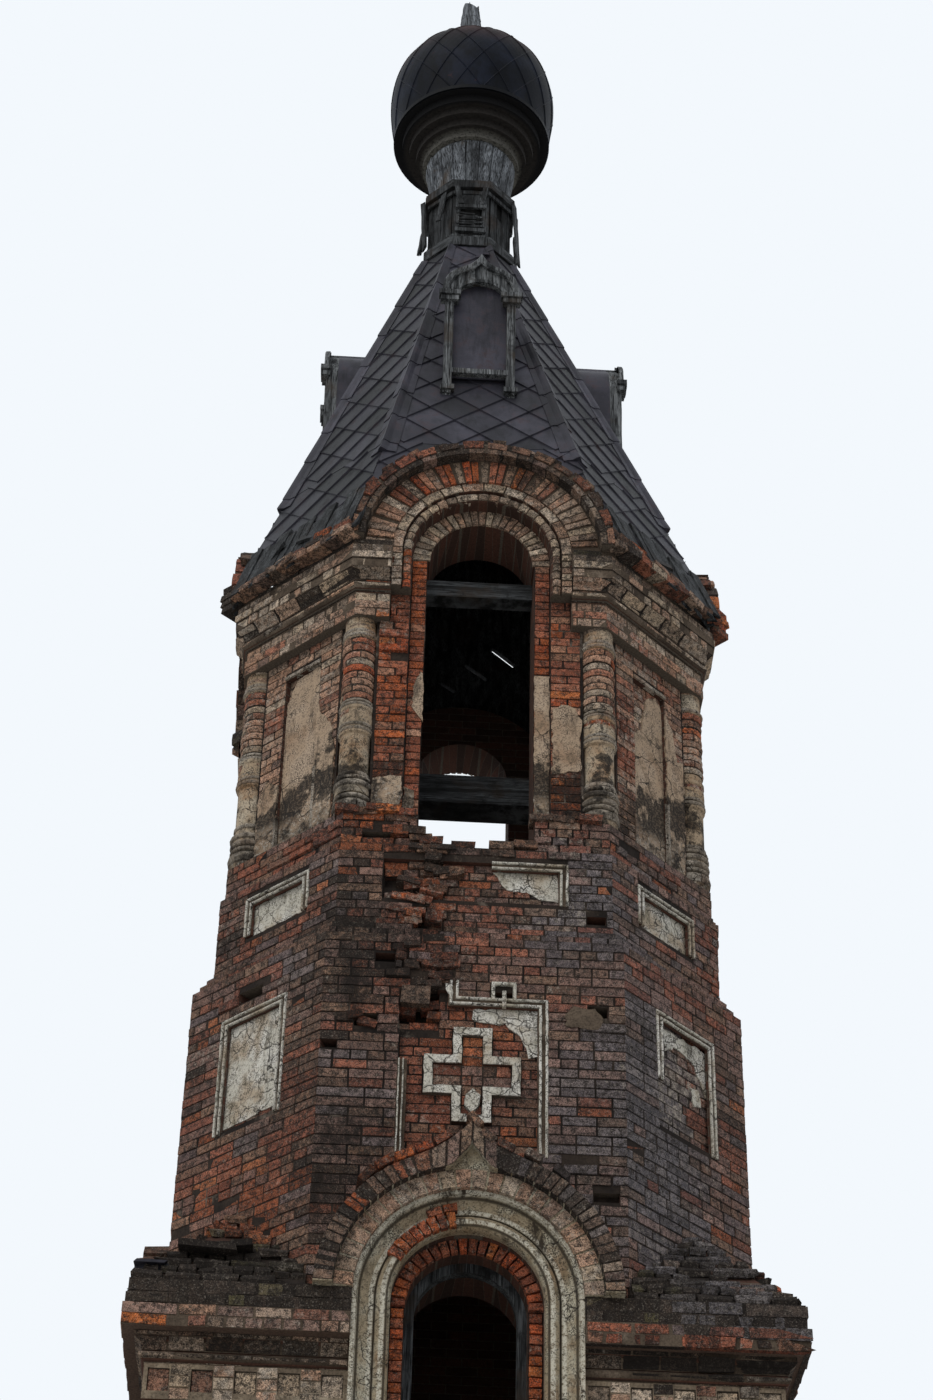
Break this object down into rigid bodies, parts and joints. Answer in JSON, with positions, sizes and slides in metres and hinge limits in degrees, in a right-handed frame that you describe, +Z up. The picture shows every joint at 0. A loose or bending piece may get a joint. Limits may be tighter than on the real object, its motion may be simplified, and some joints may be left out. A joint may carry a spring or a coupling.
{
  "type": "bell tower",
  "caption": "Ruined brick bell tower: square storeys with keel-arched gables, stepped octagon, open arched bell storey, tent roof with dormers, timber lantern and small dome.",
  "frame": {"origin": "middle of the tower's foot at ground level", "axes": "+Z up, the side with the doorway looks to -Y, +X to the right of it"},
  "size_m": [4.94, 4.94, 26.8654],
  "materials": {
    "brick_dark": "matte weathered brick",
    "brick_red": "matte brick",
    "brick_pale": "limewashed brick",
    "plaster": "cracked lime plaster",
    "timber": "bare weathered",
    "roof_sheet": "dull weathered",
    "dome_sheet": "dull weathered"
  },
  "bodies": {
    "root": {"plinth": "brick_dark", "lower_walls_front_back": "brick_dark", "door_arch": "brick_red", "lower_walls_sides": "brick_dark", "string_course": "brick_pale", "ground_floor": "brick_red", "timber_floors": "timber", "upper_wall_front": "brick_dark", "upper_wall_back": "brick_dark", "upper_wall_left": "brick_dark", "upper_wall_right": "brick_dark", "under_window_walls": "brick_dark", "window_frames": "timber", "kokoshnik_front": "plaster", "kokoshnik_back": "plaster", "kokoshniks_sides": "plaster", "square_frieze": "brick_pale", "square_cornice": "brick_pale", "corner_roofs": "brick_dark", "tier_wall_front": "brick_dark", "tier_wall_right": "brick_dark", "tier_wall_back": "brick_dark", "tier_wall_left": "brick_dark", "tier_walls_diagonal": "brick_dark", "bell_piers": "brick_red", "bell_columns": "plaster", "bell_cornice": "brick_pale", "bell_arch_front": "brick_pale", "bell_arch_back": "brick_pale", "bell_arches_sides": "brick_pale", "bell_beams": "timber", "tent_panels_cardinal": "roof_sheet", "tent_panels_diagonal": "roof_sheet", "hip_caps": "roof_sheet", "hip_rafters": "timber", "dormer_roofs": "roof_sheet", "dormer_frames": "timber", "dormer_panels": "roof_sheet", "lantern_ledges": "timber", "lantern_posts": "timber", "lantern_boards": "timber", "dome_drum": "timber", "dome_soffit": "timber", "dome_shell": "dome_sheet", "cross_post": "timber"}
  },
  "joints": []
}
